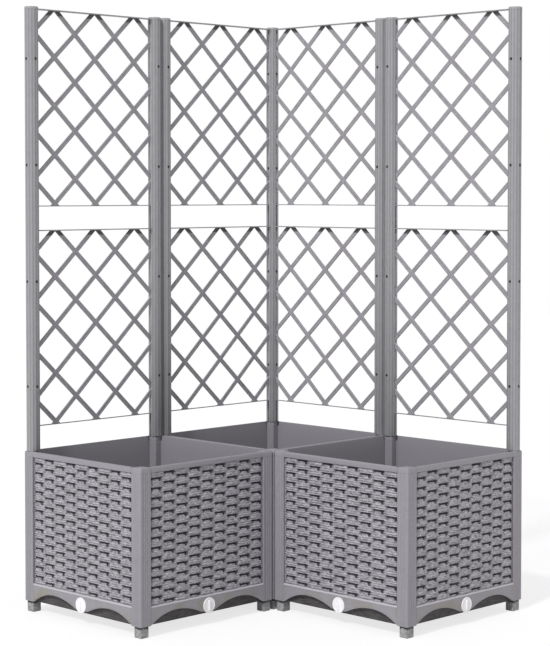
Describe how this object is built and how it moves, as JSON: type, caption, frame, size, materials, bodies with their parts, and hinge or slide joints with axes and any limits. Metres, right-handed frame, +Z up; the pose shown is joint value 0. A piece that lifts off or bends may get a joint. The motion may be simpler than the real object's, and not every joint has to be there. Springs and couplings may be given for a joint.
{
  "type": "planter",
  "caption": "L-shaped corner planter of square wicker-look plastic boxes on low feet, with fluted posts and a diamond lattice trellis along both outer walls.",
  "frame": {"origin": "on the floor, in the middle of the square whose three quarters the boxes fill", "axes": "+Z up; the trellis stands along the -X side and along the +Y side, and the open quarter of the L is at +X -Y"},
  "size_m": [0.8384, 0.8384, 1.42],
  "materials": {
    "grey_plastic": "light grey moulded polypropylene with a woven relief, satin",
    "trellis_plastic": "light grey moulded polypropylene, satin",
    "foot_plastic": "darker grey moulded plastic, matt",
    "tray_plastic": "dark grey moulded plastic, matt",
    "plug_plastic": "white plastic, soft gloss"
  },
  "bodies": {
    "planter": {"left_box_leg_front_left": "grey_plastic", "left_box_foot_front_left": "foot_plastic", "left_box_panel_front": "grey_plastic", "left_box_leg_front_right": "grey_plastic", "left_box_foot_front_right": "foot_plastic", "left_box_panel_right": "grey_plastic", "left_box_leg_back_right": "grey_plastic", "left_box_foot_back_right": "foot_plastic", "left_box_panel_back": "grey_plastic", "left_box_leg_back_left": "grey_plastic", "left_box_foot_back_left": "foot_plastic", "left_box_panel_left": "grey_plastic", "left_box_tray": "tray_plastic", "corner_box_leg_front_left": "grey_plastic", "corner_box_foot_front_left": "foot_plastic", "corner_box_panel_front": "grey_plastic", "corner_box_leg_front_right": "grey_plastic", "corner_box_foot_front_right": "foot_plastic", "corner_box_panel_right": "grey_plastic", "corner_box_leg_back_right": "grey_plastic", "corner_box_foot_back_right": "foot_plastic", "corner_box_panel_back": "grey_plastic", "corner_box_leg_back_left": "grey_plastic", "corner_box_foot_back_left": "foot_plastic", "corner_box_panel_left": "grey_plastic", "corner_box_tray": "tray_plastic", "right_box_leg_front_left": "grey_plastic", "right_box_foot_front_left": "foot_plastic", "right_box_panel_front": "grey_plastic", "right_box_leg_front_right": "grey_plastic", "right_box_foot_front_right": "foot_plastic", "right_box_panel_right": "grey_plastic", "right_box_leg_back_right": "grey_plastic", "right_box_foot_back_right": "foot_plastic", "right_box_panel_back": "grey_plastic", "right_box_leg_back_left": "grey_plastic", "right_box_foot_back_left": "foot_plastic", "right_box_panel_left": "grey_plastic", "right_box_tray": "tray_plastic", "post_left_end": "trellis_plastic", "post_left_middle": "trellis_plastic", "post_corner_left": "trellis_plastic", "post_corner_back": "trellis_plastic", "post_corner_right": "trellis_plastic", "post_right_middle": "trellis_plastic", "post_right_end": "trellis_plastic", "lattice_lower_left_outer": "trellis_plastic", "lattice_upper_left_outer": "trellis_plastic", "lattice_lower_left_inner": "trellis_plastic", "lattice_upper_left_inner": "trellis_plastic", "lattice_lower_right_inner": "trellis_plastic", "lattice_upper_right_inner": "trellis_plastic", "lattice_lower_right_outer": "trellis_plastic", "lattice_upper_right_outer": "trellis_plastic"},
    "left_box_plug_front": {"left_box_drain_plug_front": "plug_plastic"},
    "left_box_plug_right": {"left_box_drain_plug_right": "plug_plastic"},
    "corner_box_plug_back": {"corner_box_drain_plug_back": "plug_plastic"},
    "corner_box_plug_left": {"corner_box_drain_plug_left": "plug_plastic"},
    "right_box_plug_front": {"right_box_drain_plug_front": "plug_plastic"},
    "right_box_plug_right": {"right_box_drain_plug_right": "plug_plastic"}
  },
  "joints": [
    {"name": "left_box_plug_front_pull", "type": "slide", "parent": "planter", "child": "left_box_plug_front", "axis": [0, -1, 0], "range_m": [0, 0.03]},
    {"name": "left_box_plug_right_pull", "type": "slide", "parent": "planter", "child": "left_box_plug_right", "axis": [1, 0, 0], "range_m": [0, 0.03]},
    {"name": "corner_box_plug_back_pull", "type": "slide", "parent": "planter", "child": "corner_box_plug_back", "axis": [0, 1, 0], "range_m": [0, 0.03]},
    {"name": "corner_box_plug_left_pull", "type": "slide", "parent": "planter", "child": "corner_box_plug_left", "axis": [-1, 0, 0], "range_m": [0, 0.03]},
    {"name": "right_box_plug_front_pull", "type": "slide", "parent": "planter", "child": "right_box_plug_front", "axis": [0, -1, 0], "range_m": [0, 0.03]},
    {"name": "right_box_plug_right_pull", "type": "slide", "parent": "planter", "child": "right_box_plug_right", "axis": [1, 0, 0], "range_m": [0, 0.03]}
  ]
}
